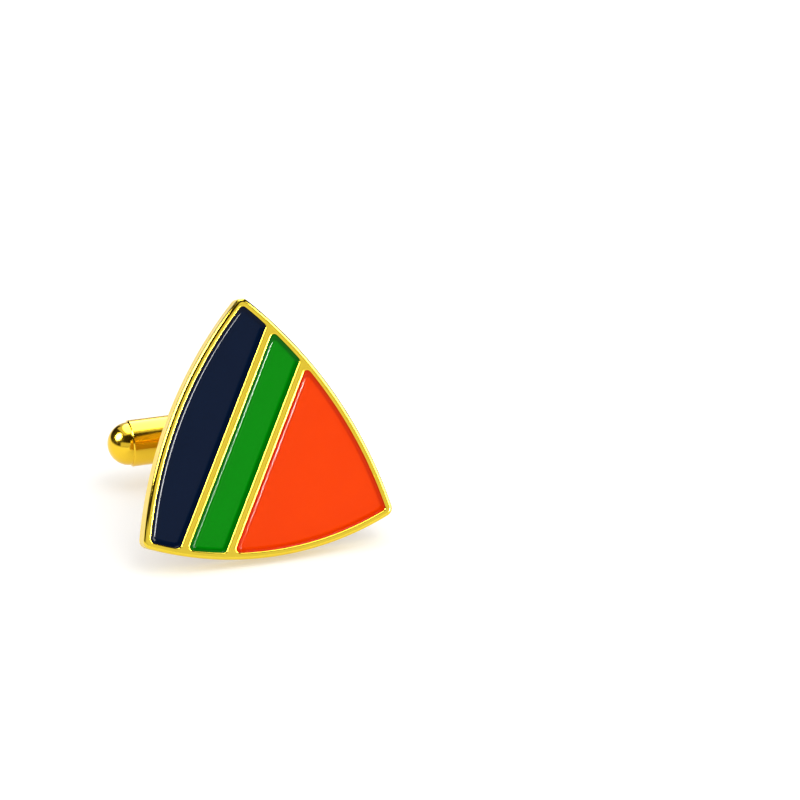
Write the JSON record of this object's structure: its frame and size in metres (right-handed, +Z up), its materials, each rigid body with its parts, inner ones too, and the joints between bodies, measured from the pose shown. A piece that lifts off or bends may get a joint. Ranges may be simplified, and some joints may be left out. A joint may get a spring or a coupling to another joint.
{
  "type": "cufflink",
  "caption": "Gold-plated bullet-back cufflink: an enamelled three-cornered head on a forked post, whose domed bullet swivels from in line to crosswise to hold a cuff.",
  "frame": {"origin": "on the table, under the middle of the cufflink's box, as it stands on its head's lower edge and the end of its lower arm", "axes": "+X along the bullet when it is crosswise, +Y from the head back towards the bullet, +Z up"},
  "size_m": [0.0224, 0.0228, 0.0215],
  "materials": {
    "gold_plate": "polished gold plating on brass",
    "enamel_orange": "glossy soft enamel",
    "enamel_green": "glossy soft enamel",
    "enamel_navy": "glossy soft enamel",
    "bush_brass": "turned brass",
    "spring_steel": "blank spring steel"
  },
  "bodies": {
    "head": {"head_plate": "gold_plate", "enamel_navy": "enamel_navy", "enamel_green": "enamel_green", "enamel_orange": "enamel_orange", "foot_disc": "gold_plate", "yoke": "gold_plate", "pivot_pin": "gold_plate"},
    "bullet": {"bullet_barrel": "gold_plate", "end_cap_left": "gold_plate", "end_cap_right": "gold_plate", "pivot_bush_lower": "bush_brass", "pivot_bush_upper": "bush_brass", "detent_leaf_rear": "spring_steel", "detent_leaf_front": "spring_steel"}
  },
  "joints": [
    {"name": "bullet_swivel", "type": "hinge", "parent": "head", "child": "bullet", "pos_m": [0, 0.00882, 0.00432], "axis": [0, 0.3773, 0.9261], "continuous": true, "deforming": ["detent_leaf_front", "detent_leaf_rear"]}
  ]
}
